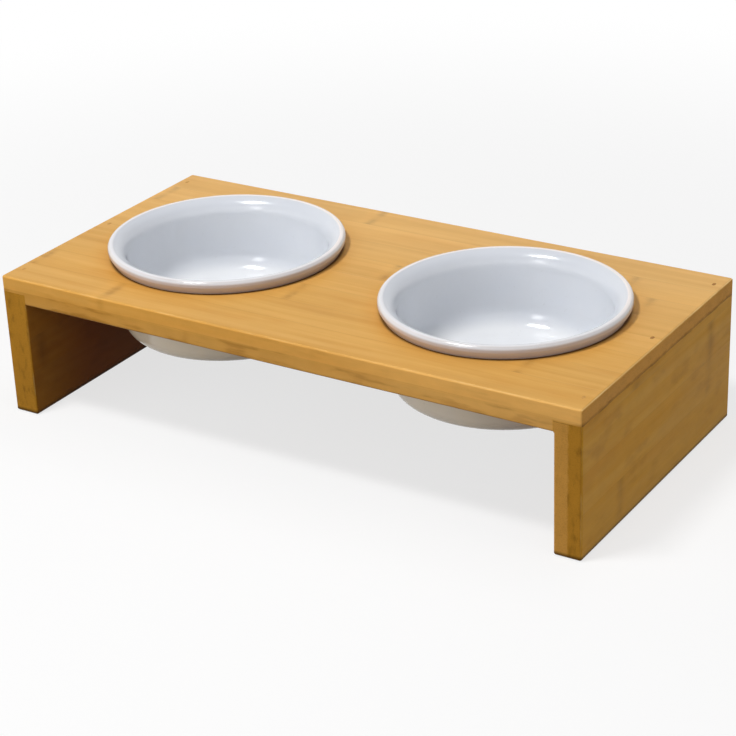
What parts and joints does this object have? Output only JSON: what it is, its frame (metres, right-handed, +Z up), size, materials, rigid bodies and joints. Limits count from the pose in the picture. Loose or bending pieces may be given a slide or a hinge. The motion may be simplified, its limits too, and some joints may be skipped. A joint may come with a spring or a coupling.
{
  "type": "elevated dog feeder",
  "caption": "Low bamboo stand, a board rebated over side panels, with round holes that hold glazed ceramic bowls by their rims, for feeding small dogs or cats off the floor.",
  "frame": {"origin": "on the floor, under the middle of the stand", "axes": "+X along the board to the right, +Y to the back, +Z up"},
  "size_m": [0.35, 0.175, 0.0885],
  "materials": {
    "bamboo": "edge-glued bamboo strips, sanded, thin satin oil",
    "glazed_ceramic": "glossy white glaze, bare foot ring",
    "brad_steel": "bright drawn wire",
    "wood_filler": "dark filler, sanded flush"
  },
  "bodies": {
    "stand": {"top_board": "bamboo", "left_side_panel": "bamboo", "right_side_panel": "bamboo", "left_front_brad": "brad_steel", "left_middle_brad": "brad_steel", "left_back_brad": "brad_steel", "right_front_brad": "brad_steel", "right_middle_brad": "brad_steel", "right_back_brad": "brad_steel", "left_front_filler": "wood_filler", "left_middle_filler": "wood_filler", "left_back_filler": "wood_filler", "right_front_filler": "wood_filler", "right_middle_filler": "wood_filler", "right_back_filler": "wood_filler"},
    "left_bowl": {"left_bowl": "glazed_ceramic"},
    "right_bowl": {"right_bowl": "glazed_ceramic"}
  },
  "joints": [
    {"name": "left_bowl_lift", "type": "slide", "parent": "stand", "child": "left_bowl", "axis": [0, 0, 1], "range_m": [0, 0.06]},
    {"name": "right_bowl_lift", "type": "slide", "parent": "stand", "child": "right_bowl", "axis": [0, 0, 1], "range_m": [0, 0.06]}
  ]
}
